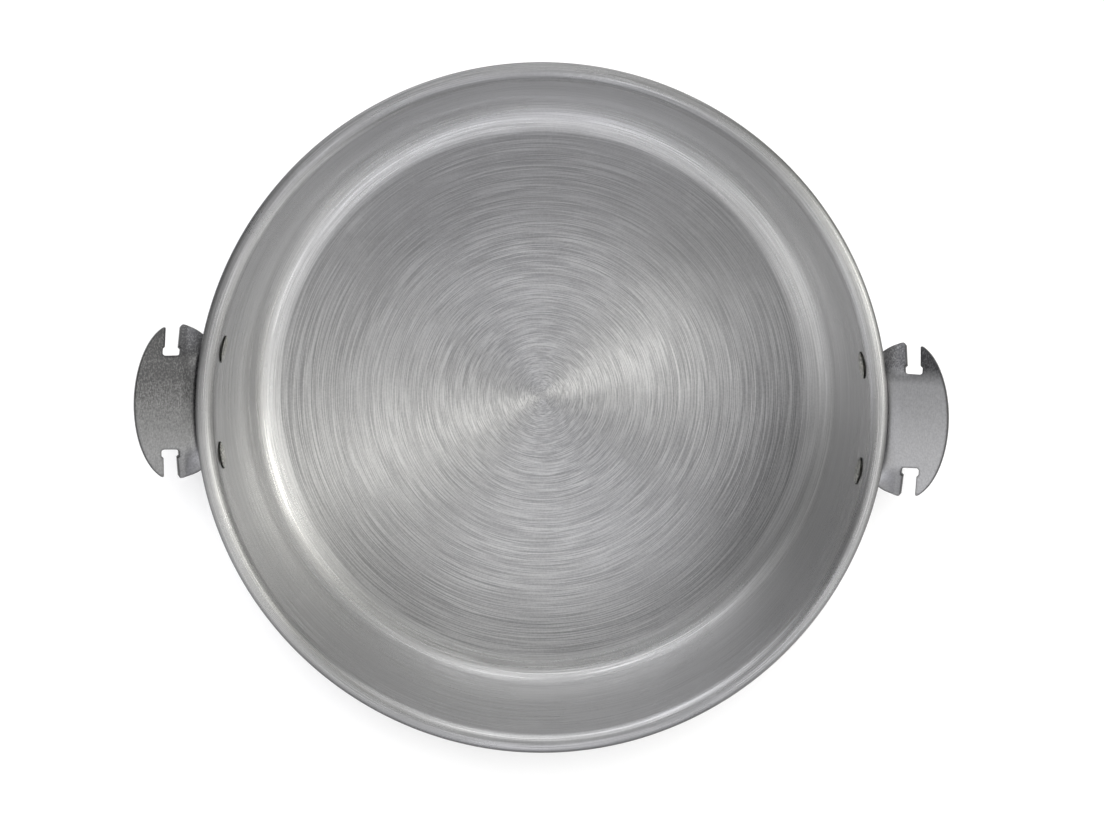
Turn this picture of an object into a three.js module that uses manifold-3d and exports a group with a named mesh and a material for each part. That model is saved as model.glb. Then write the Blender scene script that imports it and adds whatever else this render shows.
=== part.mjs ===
// Low aluminium cooking pot with two riveted sheet-steel side handles.
// Millimetres, +Z up. The origin is the centre of the underside, and the handles lie along +X and -X.
import * as THREE from "three";
import { mergeVertices } from "three/addons/utils/BufferGeometryUtils.js";
import Module from "manifold-3d";

const wasm = await Module();
wasm.setup();

// Pot shell
const INNER_RADIUS = 180;
const WALL = 3;
const BASE_THICKNESS = 4;
const INNER_DEPTH = 140;
const FLOOR_FILLET = 14;
const HEEL_FILLET = 17;
const LIP_RADIUS = 190.5;
const LIP_THICKNESS = 3;
const LIP_UNDER_FILLET = 1.5;
const LIP_INNER_ROUND = LIP_UNDER_FILLET + LIP_THICKNESS;
const LIP_CROWN = 4;
const SHELL_SEGMENTS = 72;

// Handles
const SHEET = 2.5;
const FIT_GAP = 0.3;
const FLANGE_HALF_LENGTH = 39.5;
const FLANGE_TOP_DROP = 5.6;
const FLANGE_HEIGHT = 16.4;
const FLANGE_CORNER = 7.5;
const EAR_INNER_Y = 22.4;
const EAR_TOP_ROUND = 2;
const NOTCH_ROUND = 1;
const TONGUE_HALF_WIDTH = 21;
const STRIP_RISE = THREE.MathUtils.degToRad(33);
const PLATE_RISE = THREE.MathUtils.degToRad(28);
const BEND_RADIUS = 4;
const TONGUE_FOOT = 6;
const CREASE_X = 197.5;
const LIP_CLEARANCE = 0.3;
const OVAL_X = 203.2;
const OVAL_OUTER = 18.9;
const OVAL_INNER = 26.2;
const OVAL_HALF_LENGTH = 42.8;
const LOBE_INNER_X = 188.4;
const TIP_ROUND = 1.5;
const SLOT_X = 203.9;
const SLOT_WIDTH = 6.6;
const SLOT_ROOT_Y = 25.7;
const SLOT_ROOT_WIDTH = 8.6;
const SLOT_ROOT_HEIGHT = 3.7;
const SLOT_ROOT_ROUND = 1.4;
const CROWN_RADIUS = 170;
const LOBE_BEND = THREE.MathUtils.degToRad(20);
const LOBE_BEND_ROUND = 3;
const LOBE_FADE = 3;
const SHEET_STEPS = 30;
const BAND_STEPS = 20;

// Rivets
const RIVET_OFFSET = 29.5;
const RIVET_DROP = 12;
const SHANK_RADIUS = 3;
const HOLE_RADIUS = 3.4;
const INNER_HEAD_RADIUS = 7.75;
const OUTER_HEAD_RADIUS = 6;
const HEAD_HEIGHT = 2.2;
const HEAD_EDGE = 0.5;
const HEAD_STEPS = 4;
const SEAT_CLEARANCE = 0.1;
const RIVET_SEGMENTS = 16;

// How far uncut sheets run past the outlines that trim them
const TRIM_MARGIN = 2;

// Worked-out places
const OUTER_RADIUS = INNER_RADIUS + WALL;
const RIM_Z = BASE_THICKNESS + INNER_DEPTH;
const FLANGE_INNER = OUTER_RADIUS + FIT_GAP;
const FLANGE_OUTER = FLANGE_INNER + SHEET;
const RIVET_ANGLE = Math.asin(RIVET_OFFSET / INNER_RADIUS);

// Corners of the bent sheet's middle line, seen from the side: foot on the wall, heel, crease and outer end.
const WALL_X = FLANGE_INNER + SHEET / 2;
const STRIP_X = LIP_RADIUS + LIP_CLEARANCE + (SHEET / 2) * Math.sin(STRIP_RISE);
const STRIP_Z = RIM_Z - LIP_THICKNESS - LIP_CLEARANCE - (SHEET / 2) * Math.cos(STRIP_RISE);
const HEEL_Z = STRIP_Z - (STRIP_X - WALL_X) * Math.tan(STRIP_RISE);
const CREASE_Z = STRIP_Z + (CREASE_X - STRIP_X) * Math.tan(STRIP_RISE);
const END_X = OVAL_X + OVAL_OUTER + TRIM_MARGIN;
const END_Z = CREASE_Z + (END_X - CREASE_X) * Math.tan(PLATE_RISE);

const potFinish = new THREE.MeshStandardMaterial({ color: 0xb4b3b3, metalness: 1, roughness: 0.36 });
const handleFinish = new THREE.MeshStandardMaterial({ color: 0xa5a5a6, metalness: 1, roughness: 0.42 });
const rivetFinish = new THREE.MeshStandardMaterial({ color: 0xbdbdb8, metalness: 1, roughness: 0.22 });

function toSolid(geometry) {
  geometry.deleteAttribute("normal");
  geometry.deleteAttribute("uv");
  const merged = mergeVertices(geometry, 1e-4);
  const vertProperties = new Float32Array(merged.attributes.position.array);
  const triVerts = new Uint32Array(merged.index.array);
  return new wasm.Manifold(new wasm.Mesh({ numProp: 3, vertProperties, triVerts }));
}

function toGeometry(solid) {
  const mesh = solid.getMesh();
  const geometry = new THREE.BufferGeometry();
  geometry.setAttribute("position", new THREE.BufferAttribute(new Float32Array(mesh.vertProperties), 3));
  geometry.setIndex(new THREE.BufferAttribute(new Uint32Array(mesh.triVerts), 1));
  return geometry;
}

// Points on an arc in a profile plane, both ends included; circular unless its half height is given.
function arc(centreX, centreY, radius, fromDegrees, toDegrees, steps, halfHeight = radius) {
  const points = [];
  for (let i = 0; i <= steps; i++) {
    const angle = THREE.MathUtils.degToRad(fromDegrees + ((toDegrees - fromDegrees) * i) / steps);
    const x = centreX + radius * Math.cos(angle);
    const y = centreY + halfHeight * Math.sin(angle);
    points.push(new THREE.Vector2(x, y));
  }
  return points;
}

// Radial hole through the wall or a flange, at a rivet's place.
function rivetHole(angle) {
  const length = 20;
  const hole = new THREE.CylinderGeometry(HOLE_RADIUS, HOLE_RADIUS, length, RIVET_SEGMENTS);
  hole.rotateZ(Math.PI / 2);
  hole.translate(OUTER_RADIUS, 0, RIM_Z - RIVET_DROP);
  hole.rotateZ(angle);
  return toSolid(hole);
}

// The spun shell: flat underside, rounded heel, straight wall, turned-out lip that falls away to its edge,
// rounded floor corner.
function potBody() {
  const lipNose = LIP_THICKNESS / 2;
  const lipUnder = RIM_Z - LIP_THICKNESS;
  const profile = [
    new THREE.Vector2(0, 0),
    ...arc(OUTER_RADIUS - HEEL_FILLET, HEEL_FILLET, HEEL_FILLET, -90, 0, 6),
    ...arc(OUTER_RADIUS + LIP_UNDER_FILLET, lipUnder - LIP_UNDER_FILLET, LIP_UNDER_FILLET, 180, 90, 3),
    ...arc(LIP_RADIUS - lipNose, RIM_Z - lipNose, lipNose, -90, -30, 2),
    ...arc(LIP_RADIUS - LIP_CROWN, RIM_Z - lipNose, LIP_CROWN, 0, 90, 5, lipNose),
    ...arc(INNER_RADIUS + LIP_INNER_ROUND, RIM_Z - LIP_INNER_ROUND, LIP_INNER_ROUND, 90, 180, 5),
    ...arc(INNER_RADIUS - FLOOR_FILLET, BASE_THICKNESS + FLOOR_FILLET, FLOOR_FILLET, 0, -90, 6),
    new THREE.Vector2(0, BASE_THICKNESS),
  ];
  const lathe = new THREE.LatheGeometry(profile, SHELL_SEGMENTS);
  lathe.rotateX(Math.PI / 2);
  let shell = toSolid(lathe);
  for (const side of [0, Math.PI]) {
    for (const way of [-1, 1]) {
      shell = shell.subtract(rivetHole(side + way * RIVET_ANGLE));
    }
  }
  return toGeometry(shell);
}

// A closed sheet between two grids of points: face(u, v, 1) on top and face(u, v, -1) underneath.
function gridSolid(uSteps, vSteps, face) {
  const positions = [];
  const index = [];
  const columns = vSteps + 1;
  const layer = (uSteps + 1) * columns;
  for (const side of [1, -1]) {
    for (let i = 0; i <= uSteps; i++) {
      for (let j = 0; j <= vSteps; j++) {
        positions.push(...face(i / uSteps, j / vSteps, side));
      }
    }
  }
  const quad = (a, b, c, d) => index.push(a, b, c, a, c, d);
  for (let i = 0; i < uSteps; i++) {
    for (let j = 0; j < vSteps; j++) {
      const corner = i * columns + j;
      quad(corner, corner + columns, corner + columns + 1, corner + 1);
      quad(layer + corner, layer + corner + 1, layer + corner + columns + 1, layer + corner + columns);
    }
  }
  for (let i = 0; i < uSteps; i++) {
    const low = i * columns;
    const high = low + vSteps;
    quad(low, layer + low, layer + low + columns, low + columns);
    quad(high, high + columns, layer + high + columns, layer + high);
  }
  for (let j = 0; j < vSteps; j++) {
    const near = j;
    const far = uSteps * columns + j;
    quad(near, near + 1, layer + near + 1, layer + near);
    quad(far, layer + far, layer + far + 1, far + 1);
  }
  const geometry = new THREE.BufferGeometry();
  geometry.setAttribute("position", new THREE.BufferAttribute(new Float32Array(positions), 3));
  geometry.setIndex(index);
  return geometry;
}

// Middle line of the bent sheet in the XZ plane: up the wall, out past the lip, then the grip plate.
function handleSection() {
  const corners = [
    new THREE.Vector2(WALL_X, HEEL_Z - TONGUE_FOOT),
    new THREE.Vector2(WALL_X, HEEL_Z),
    new THREE.Vector2(CREASE_X, CREASE_Z),
    new THREE.Vector2(END_X, END_Z),
  ];
  return roundedLine(corners, BEND_RADIUS);
}

// Replaces each inside corner of a line by a curve that leaves it one trim length before and after.
function roundedLine(corners, radius) {
  const path = new THREE.Path();
  path.moveTo(corners[0].x, corners[0].y);
  for (let i = 1; i < corners.length - 1; i++) {
    const before = corners[i - 1].clone().sub(corners[i]).normalize();
    const after = corners[i + 1].clone().sub(corners[i]).normalize();
    const turn = Math.PI - Math.acos(before.dot(after));
    const trim = radius * Math.tan(turn / 2);
    const start = corners[i].clone().addScaledVector(before, trim);
    const end = corners[i].clone().addScaledVector(after, trim);
    path.lineTo(start.x, start.y);
    path.quadraticCurveTo(corners[i].x, corners[i].y, end.x, end.y);
  }
  path.lineTo(corners.at(-1).x, corners.at(-1).y);
  return path.getPoints(3);
}

// How far the sheet falls below its middle section at a distance y from the handle's centre line.
function lobeDrop(x, y) {
  const reach = Math.abs(y);
  const crown = (reach * reach) / (2 * CROWN_RADIUS);
  const past = Math.max(0, reach - SLOT_ROOT_Y + LOBE_BEND_ROUND);
  const bend = past < 2 * LOBE_BEND_ROUND ? (past * past) / (4 * LOBE_BEND_ROUND) : past - LOBE_BEND_ROUND;
  const inner = 1 - THREE.MathUtils.smoothstep(x, OVAL_X - LOBE_FADE, OVAL_X + LOBE_FADE);
  return crown + inner * bend * Math.tan(LOBE_BEND);
}

// Plan outline of the grip plate, its four lobes, the two end slots and the tongue to the wall.
function handleOutline() {
  const slotOut = SLOT_X + SLOT_WIDTH / 2;
  const slotIn = SLOT_X - SLOT_WIDTH / 2;
  const rootOut = SLOT_X + SLOT_ROOT_WIDTH / 2;
  const rootIn = SLOT_X - SLOT_ROOT_WIDTH / 2;
  const rootTop = SLOT_ROOT_Y + SLOT_ROOT_HEIGHT;
  const neckTop = rootTop + (SLOT_ROOT_WIDTH - SLOT_WIDTH) / 2;
  const ovalY = (x, reach) => OVAL_HALF_LENGTH * Math.sqrt(1 - ((x - OVAL_X) / reach) ** 2);
  const outerEnd = Math.acos((slotOut + TIP_ROUND - OVAL_X) / OVAL_OUTER);
  const innerStart = Math.PI - Math.acos((OVAL_X - slotIn + TIP_ROUND) / OVAL_INNER);
  const innerEnd = Math.PI - Math.acos((OVAL_X - LOBE_INNER_X) / OVAL_INNER);
  const half = new THREE.Path();
  half.moveTo(OVAL_X + OVAL_OUTER, 0);
  half.absellipse(OVAL_X, 0, OVAL_OUTER, OVAL_HALF_LENGTH, 0, outerEnd, false);
  const tipOutY = ovalY(slotOut, OVAL_OUTER);
  half.quadraticCurveTo(slotOut, tipOutY, slotOut, tipOutY - TIP_ROUND);
  half.lineTo(slotOut, neckTop);
  half.lineTo(rootOut, rootTop);
  half.lineTo(rootOut, SLOT_ROOT_Y + SLOT_ROOT_ROUND);
  half.quadraticCurveTo(rootOut, SLOT_ROOT_Y, rootOut - SLOT_ROOT_ROUND, SLOT_ROOT_Y);
  half.lineTo(rootIn + SLOT_ROOT_ROUND, SLOT_ROOT_Y);
  half.quadraticCurveTo(rootIn, SLOT_ROOT_Y, rootIn, SLOT_ROOT_Y + SLOT_ROOT_ROUND);
  half.lineTo(rootIn, rootTop);
  half.lineTo(slotIn, neckTop);
  half.lineTo(slotIn, ovalY(slotIn, OVAL_INNER) - TIP_ROUND);
  const tipIn = slotIn - TIP_ROUND;
  half.quadraticCurveTo(slotIn, ovalY(slotIn, OVAL_INNER), tipIn, ovalY(tipIn, OVAL_INNER));
  half.absellipse(OVAL_X, 0, OVAL_INNER, OVAL_HALF_LENGTH, innerStart, innerEnd, false);
  half.lineTo(LOBE_INNER_X, TONGUE_HALF_WIDTH + TIP_ROUND);
  half.quadraticCurveTo(LOBE_INNER_X, TONGUE_HALF_WIDTH, LOBE_INNER_X - TIP_ROUND, TONGUE_HALF_WIDTH);
  half.lineTo(FLANGE_INNER - WALL, TONGUE_HALF_WIDTH);
  const points = half.getPoints(5);
  const mirrored = points.slice(1).reverse().map((point) => new THREE.Vector2(point.x, -point.y));
  return new THREE.Shape([...points, ...mirrored]);
}

// Flange wrapped on the outside of the wall: a low bar with a rivet ear at each end, just under the lip.
function handleFlange() {
  const outline = new THREE.Shape();
  const top = RIM_Z - FLANGE_TOP_DROP;
  const bottom = top - FLANGE_HEIGHT;
  const end = FLANGE_HALF_LENGTH;
  const cornerY = end - FLANGE_CORNER;
  const notch = HEEL_Z - BEND_RADIUS / 2;
  outline.moveTo(-cornerY, bottom);
  outline.lineTo(cornerY, bottom);
  outline.absarc(cornerY, bottom + FLANGE_CORNER, FLANGE_CORNER, -Math.PI / 2, 0, false);
  outline.absarc(cornerY, top - FLANGE_CORNER, FLANGE_CORNER, 0, Math.PI / 2, false);
  outline.lineTo(EAR_INNER_Y + EAR_TOP_ROUND, top);
  outline.quadraticCurveTo(EAR_INNER_Y, top, EAR_INNER_Y, top - EAR_TOP_ROUND);
  outline.lineTo(EAR_INNER_Y, notch + NOTCH_ROUND);
  outline.quadraticCurveTo(EAR_INNER_Y, notch, EAR_INNER_Y - NOTCH_ROUND, notch);
  outline.lineTo(-EAR_INNER_Y + NOTCH_ROUND, notch);
  outline.quadraticCurveTo(-EAR_INNER_Y, notch, -EAR_INNER_Y, notch + NOTCH_ROUND);
  outline.lineTo(-EAR_INNER_Y, top - EAR_TOP_ROUND);
  outline.quadraticCurveTo(-EAR_INNER_Y, top, -EAR_INNER_Y - EAR_TOP_ROUND, top);
  outline.absarc(-cornerY, top - FLANGE_CORNER, FLANGE_CORNER, Math.PI / 2, Math.PI, false);
  outline.absarc(-cornerY, bottom + FLANGE_CORNER, FLANGE_CORNER, Math.PI, Math.PI * 1.5, false);
  const depth = 30;
  const prism = new THREE.ExtrudeGeometry(outline, { depth, bevelEnabled: false, curveSegments: 5 });
  prism.rotateX(Math.PI / 2);
  prism.rotateZ(Math.PI / 2);
  prism.translate(FLANGE_INNER - depth / 2, 0, 0);
  const halfAngle = (FLANGE_HALF_LENGTH + TRIM_MARGIN) / FLANGE_INNER;
  const band = gridSolid(1, BAND_STEPS, (u, v, side) => {
    const radius = side > 0 ? FLANGE_OUTER : FLANGE_INNER;
    const angle = (v * 2 - 1) * halfAngle;
    const height = top + TRIM_MARGIN - u * (FLANGE_HEIGHT + 2 * TRIM_MARGIN);
    return [radius * Math.cos(angle), radius * Math.sin(angle), height];
  });
  return { prism: toSolid(prism), band: toSolid(band) };
}

// The bent sheet before its outline is cut: straight bends across, crowned along the grip.
function handleSheet() {
  const section = handleSection();
  const steps = section.length - 1;
  const normals = section.map((point, i) => {
    const ahead = section[Math.min(i + 1, steps)].clone().sub(section[Math.max(i - 1, 0)]).normalize();
    return new THREE.Vector2(-ahead.y, ahead.x);
  });
  const halfSpan = OVAL_HALF_LENGTH + TRIM_MARGIN;
  return toSolid(
    gridSolid(steps, SHEET_STEPS, (u, v, side) => {
      const i = Math.round(u * steps);
      const y = (v * 2 - 1) * halfSpan;
      const x = section[i].x + (normals[i].x * side * SHEET) / 2;
      const z = section[i].y + (normals[i].y * side * SHEET) / 2;
      const onWall = 1 - THREE.MathUtils.smoothstep(section[i].x, FLANGE_OUTER, CREASE_X);
      const wallSag = FLANGE_INNER - Math.sqrt(FLANGE_INNER ** 2 - y * y);
      return [x - wallSag * onWall, y, z - lobeDrop(section[i].x, y) * (1 - onWall)];
    }),
  );
}

// One handle at +X, cut from one sheet: riveted flange, tongue, crease and slotted oval grip plate.
function handle() {
  const depth = 120;
  const plan = new THREE.ExtrudeGeometry(handleOutline(), { depth, bevelEnabled: false });
  plan.translate(0, 0, RIM_Z - depth / 2);
  const { prism, band } = handleFlange();
  const flange = band.intersect(prism);
  let solid = handleSheet().intersect(toSolid(plan)).add(flange);
  for (const way of [-1, 1]) {
    solid = solid.subtract(rivetHole(way * RIVET_ANGLE));
  }
  return toGeometry(solid);
}

// Domed head profile from its flat seat to the axis; "way" is +1 for the outer head, -1 for the inner.
function headProfile(seat, radius, way) {
  const points = [new THREE.Vector2(radius, seat)];
  const dome = HEAD_HEIGHT - HEAD_EDGE;
  for (let i = 0; i < HEAD_STEPS; i++) {
    const angle = ((Math.PI / 2) * i) / HEAD_STEPS;
    const rise = HEAD_EDGE + dome * Math.sin(angle);
    points.push(new THREE.Vector2(radius * Math.cos(angle), seat + way * rise));
  }
  points.push(new THREE.Vector2(0, seat + way * HEAD_HEIGHT));
  return points;
}

// A solid rivet along +X through wall and flange, with a domed head at each end.
function rivet() {
  const seatSag = INNER_RADIUS - Math.sqrt(INNER_RADIUS ** 2 - INNER_HEAD_RADIUS ** 2);
  const innerSeat = INNER_RADIUS - seatSag - FIT_GAP - SEAT_CLEARANCE;
  const outerSeat = FLANGE_OUTER + FIT_GAP;
  const profile = [
    ...headProfile(innerSeat, INNER_HEAD_RADIUS, -1).reverse(),
    new THREE.Vector2(SHANK_RADIUS, innerSeat),
    new THREE.Vector2(SHANK_RADIUS, outerSeat),
    ...headProfile(outerSeat, OUTER_HEAD_RADIUS, 1),
  ];
  const geometry = new THREE.LatheGeometry(profile, RIVET_SEGMENTS);
  geometry.rotateZ(-Math.PI / 2);
  return geometry;
}

function part(name, geometry, material) {
  const mesh = new THREE.Mesh(geometry, material);
  mesh.name = name;
  return mesh;
}

const pot = new THREE.Group();
pot.add(part("pot_body", potBody(), potFinish));

for (const [side, turn] of [["right", 0], ["left", Math.PI]]) {
  const set = new THREE.Group();
  set.rotation.z = turn;
  set.add(part(`handle_${side}`, handle(), handleFinish));
  for (const [place, way] of [["front", -1], ["back", 1]]) {
    const pin = part(`rivet_${side}_${place}`, rivet(), rivetFinish);
    const localWay = turn === 0 ? way : -way;
    pin.position.z = RIM_Z - RIVET_DROP;
    pin.rotation.z = localWay * RIVET_ANGLE;
    set.add(pin);
  }
  pot.add(set);
}

export default pot;
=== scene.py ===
"""Blender model of a low aluminium pot with two riveted sheet-steel handles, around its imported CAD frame.

Lengths are written in millimetres and turned into metres as meshes are made. The pot stands on z = 0,
its axis is +Z, and its handles lie along +X and -X.
"""
import math

import bmesh
import bpy
import numpy as np
from mathutils import Matrix, Vector
from mathutils.geometry import delaunay_2d_cdt


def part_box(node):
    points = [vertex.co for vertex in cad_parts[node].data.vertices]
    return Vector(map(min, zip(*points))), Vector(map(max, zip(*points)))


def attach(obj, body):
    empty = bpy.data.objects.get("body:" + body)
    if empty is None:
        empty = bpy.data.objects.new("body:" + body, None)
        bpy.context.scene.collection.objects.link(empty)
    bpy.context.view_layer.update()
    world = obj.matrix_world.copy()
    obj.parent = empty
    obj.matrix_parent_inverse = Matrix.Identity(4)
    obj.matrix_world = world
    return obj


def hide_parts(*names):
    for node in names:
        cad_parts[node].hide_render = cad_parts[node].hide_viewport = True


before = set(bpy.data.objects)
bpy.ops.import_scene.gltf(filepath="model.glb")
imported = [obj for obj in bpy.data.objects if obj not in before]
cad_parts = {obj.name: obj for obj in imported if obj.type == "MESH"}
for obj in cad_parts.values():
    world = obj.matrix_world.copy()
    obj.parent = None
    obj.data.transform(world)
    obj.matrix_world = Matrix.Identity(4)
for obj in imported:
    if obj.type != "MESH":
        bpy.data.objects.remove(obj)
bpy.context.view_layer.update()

MM = 0.001
body_low, body_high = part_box("pot_body")
RIM_Z = body_high[2] / MM
LIP_RADIUS = (body_high[1] - body_low[1]) / 2 / MM

# Pot shell
INNER_RADIUS = 180.0
WALL = 3.0
OUTER_RADIUS = INNER_RADIUS + WALL
BASE_THICKNESS = 4.0
FLOOR_FILLET = 14.0
HEEL_FILLET = 17.0
LIP_THICKNESS = 3.0
LIP_UNDER_FILLET = 1.5
LIP_INNER_ROUND = 6.0
LIP_CROWN = 4.0
SHELL_SEGMENTS = 384
FLOOR_RINGS = 10
HEEL_STEPS = 14
WALL_STEPS = 14
UNDER_LIP_STEPS = 6
NOSE_STEPS = 7
CROWN_STEPS = 16
LIP_TOP_STEPS = 2
MOUTH_STEPS = 12
CORNER_STEPS = 18
HOLE_SEGMENTS = 48
CUTTER_LENGTH = 20.0

# Handles
SHEET = 2.5
FIT_GAP = 0.3
FLANGE_INNER = OUTER_RADIUS + FIT_GAP
WALL_X = FLANGE_INNER + SHEET / 2
FLANGE_HALF_LENGTH = 39.5
FLANGE_TOP_DROP = 5.6
FLANGE_HEIGHT = 16.4
FLANGE_CORNER = 7.5
EAR_INNER_Y = 22.4
EAR_TOP_ROUND = 2.0
NOTCH_ROUND = 0.7
TONGUE_HALF_WIDTH = 21.0
STRIP_RISE = math.radians(33)
PLATE_RISE = math.radians(28)
BEND_RADIUS = 4.0
CREASE_X = 197.5
LIP_CLEARANCE = 0.3
OVAL_X = 203.2
OVAL_OUTER = 18.9 - SHEET / 2 * math.sin(PLATE_RISE)
OVAL_INNER = 26.2
OVAL_HALF_LENGTH = 42.8
LOBE_INNER_X = 188.4
TIP_ROUND = 1.6
SLOT_X = 203.9
SLOT_WIDTH = 6.6
SLOT_ROOT_Y = 25.7
SLOT_ROOT_WIDTH = 8.6
SLOT_ROOT_HEIGHT = 3.7
SLOT_ROOT_ROUND = 1.4
CROWN_RADIUS = 170.0
LOBE_BEND = math.radians(20)
LOBE_BEND_ROUND = 3.0
LOBE_BLEND = 3.0
END_MARGIN = 2.0
EAR_MARGIN = 0.15
BEND_POINTS = 25
OUTER_OVAL_POINTS = 80
INNER_OVAL_POINTS = 24
EAR_STEPS = 20
SHEET_EDGE_ROUND = 0.5
OUTLINE_STEP = 0.5
SHORTEST_STEP = 0.02
FACE_STEP = 1.1
FACE_CLEARANCE = 0.45 * FACE_STEP

# Painted shade on the sheet's edge: how dark on the face beside it, over what width, and how much is lost
# towards the face
FACE_DARKNESS = 0.6
DARK_MARGIN = 1.4
EDGE_FADE = 0.4

# Rivets
RIVET_OFFSET = 29.5
RIVET_DROP = 12.0
RIVET_ANGLE = math.asin(RIVET_OFFSET / INNER_RADIUS)
SHANK_RADIUS = 3.0
HOLE_RADIUS = 3.4
INNER_HEAD_RADIUS = 7.7
OUTER_HEAD_RADIUS = 5.9
HEAD_HEIGHT = 2.1
HEAD_ROLL = 0.45
HEAD_UNDERCUT = 0.3
HEAD_BEVEL = 0.08
HEAD_BEVEL_RISE = 0.12
HEAD_FULLNESS = 0.9
HEAD_STEPS = 12
INNER_SEAT_DEPTH = 0.15
OUTER_SEAT_GAP = 0.02
RIVET_SEGMENTS = 72
# Where the painted shade on a head's rolled rim begins and is full, as a share of its radius
HEAD_SHADE_START = 0.9
HEAD_SHADE_FULL = 0.98

# Corners of the bent sheet's middle line, seen from the side
STRIP_X = LIP_RADIUS + LIP_CLEARANCE + SHEET / 2 * math.sin(STRIP_RISE)
STRIP_Z = RIM_Z - LIP_THICKNESS - LIP_CLEARANCE - SHEET / 2 * math.cos(STRIP_RISE)
HEEL_Z = STRIP_Z - (STRIP_X - WALL_X) * math.tan(STRIP_RISE)
CREASE_Z = STRIP_Z + (CREASE_X - STRIP_X) * math.tan(STRIP_RISE)
END_X = OVAL_X + OVAL_OUTER + END_MARGIN
END_Z = CREASE_Z + (END_X - CREASE_X) * math.tan(PLATE_RISE)
FLANGE_BOTTOM_Z = RIM_Z - FLANGE_TOP_DROP - FLANGE_HEIGHT

# Aluminium finish: radii and heights where its regions begin and end
FLOOR_EDGE = 162.0
FLOOR_BLEND = 2.0
DULL_START = 105.0
DULL_FULL = 146.0
# Painted shade on the floor: radii where it starts and is full, and how far towards +Y it deepens
FLOOR_SHADE_START = 80.0
FLOOR_SHADE_FULL = 120.0
FLOOR_SHADE_REACH = 90.0
WALL_LOW = 15.0
WALL_HIGH = 100.0
LIP_START_DROP = 6.0
LIP_FULL_DROP = 4.0
LIP_START_OUT = 0.5
LIP_FULL_OUT = 4.0
# Width of the painted shade along the lip's outer edge
PAINTED_RIM_SHADE_WIDTH = 2.4
FLOOR_ROUGHNESS = 0.42
WALL_ROUGHNESS = 0.30

# Steel finish: how much painted shade darkens each handle at its near (-Y) and far (+Y) ends, and where
# along it; the far tips get more painted shade
HANDLE_PAINTED_SHADE = {"right": (0.25, 0.0), "left": (0.46, 0.97)}
PAINTED_SHADE_NEAR = -25.0
PAINTED_SHADE_FAR = 15.0
PAINTED_TIP_SHADE_START = 20.0
PAINTED_TIP_SHADE_FULL = 30.0

# Camera: where it stands over the rim, in its own right and up directions
CAMERA_ROLL = math.radians(1.45)
CAMERA_DISTANCE = 1180.0
CAMERA_UP_SHIFT = 84.2
CAMERA_RIGHT_SHIFT = 1.8
AIM_RIGHT = 5.67
AIM_UP = -1.29
CAMERA_LENS = 70.2
SENSOR_WIDTH = 36.0

# Studio: each pool of light is its azimuth, angle from overhead, radiance, tightness and tint
NEUTRAL = (1.0, 1.0, 1.0)
WARM = (1.0, 0.99, 0.94)
COOL = (0.965, 0.965, 1.02)
DOME_POOLS = [
    (15, 36, 3.40, 80, WARM),
    (0, 18, 0.95, 40, WARM),
    (240, 18, 0.60, 40, NEUTRAL),
    (300, 18, 1.10, 40, COOL),
    (210, 34, 0.45, 40, WARM),
    (270, 34, 0.70, 40, COOL),
    (335, 32, 0.40, 40, NEUTRAL),
    (30, 56, 0.40, 14, WARM),
    (80, 56, 0.75, 14, NEUTRAL),
    (120, 56, 0.75, 14, NEUTRAL),
    (210, 56, 0.65, 14, NEUTRAL),
    (260, 56, 0.40, 14, COOL),
    (340, 66, 0.45, 14, WARM),
    (80, 80, 1.40, 12, NEUTRAL),
    (120, 80, 1.20, 12, COOL),
    (200, 80, 0.70, 12, COOL),
    (320, 80, 1.00, 12, NEUTRAL),
]
LAMP_STRENGTH = 1.8
LAMP_LEAN = math.radians(13)
LAMP_SPREAD = math.radians(22)
FLOOR_REACH = 6000.0


def make_object(name, vertices, faces, smooth=True):
    """A mesh object from millimetre points."""
    mesh = bpy.data.meshes.new(name)
    mesh.from_pydata([(x * MM, y * MM, z * MM) for x, y, z in vertices], [], faces)
    mesh.validate()
    for polygon in mesh.polygons:
        polygon.use_smooth = smooth
    thing = bpy.data.objects.new(name, mesh)
    bpy.context.scene.collection.objects.link(thing)
    return thing


def store_edge_shade(thing, values):
    """Stores one number per vertex, from 0 on a face to 1 on an edge in full painted shade, for the
    materials to read.
    """
    layer = thing.data.attributes.new("edge", "FLOAT", "POINT")
    layer.data.foreach_set("value", [float(v) for v in values])


def arc(centre, radius, start, end, steps, half_height=None):
    """Points on an arc between two angles in degrees, ends included; half_height makes it elliptical."""
    rise = radius if half_height is None else half_height
    angles = [math.radians(start + (end - start) * i / steps) for i in range(steps + 1)]
    return [(centre[0] + radius * math.cos(a), centre[1] + rise * math.sin(a)) for a in angles]


def between(start, end, steps):
    """Evenly spaced points strictly between two profile points."""
    return [
        tuple(a + (b - a) * i / steps for a, b in zip(start, end))
        for i in range(1, steps)
    ]


def revolve(name, profile, segments):
    """A closed solid of revolution about Z; the profile starts and ends on the axis."""
    ring = profile[1:-1]
    vertices = [(0.0, 0.0, profile[0][1])]
    turns = [2 * math.pi * j / segments for j in range(segments)]
    for radius, height in ring:
        vertices += [(radius * math.cos(t), radius * math.sin(t), height) for t in turns]
    vertices.append((0.0, 0.0, profile[-1][1]))
    last = len(vertices) - 1
    faces = []
    for j in range(segments):
        k = (j + 1) % segments
        faces.append((0, 1 + k, 1 + j))
        for i in range(len(ring) - 1):
            low = 1 + i * segments
            high = low + segments
            faces.append((low + j, low + k, high + k, high + j))
        top = 1 + (len(ring) - 1) * segments
        faces.append((top + j, top + k, last))
    return make_object(name, vertices, faces)


# ---------------------------------------------------------------- pot shell

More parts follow.
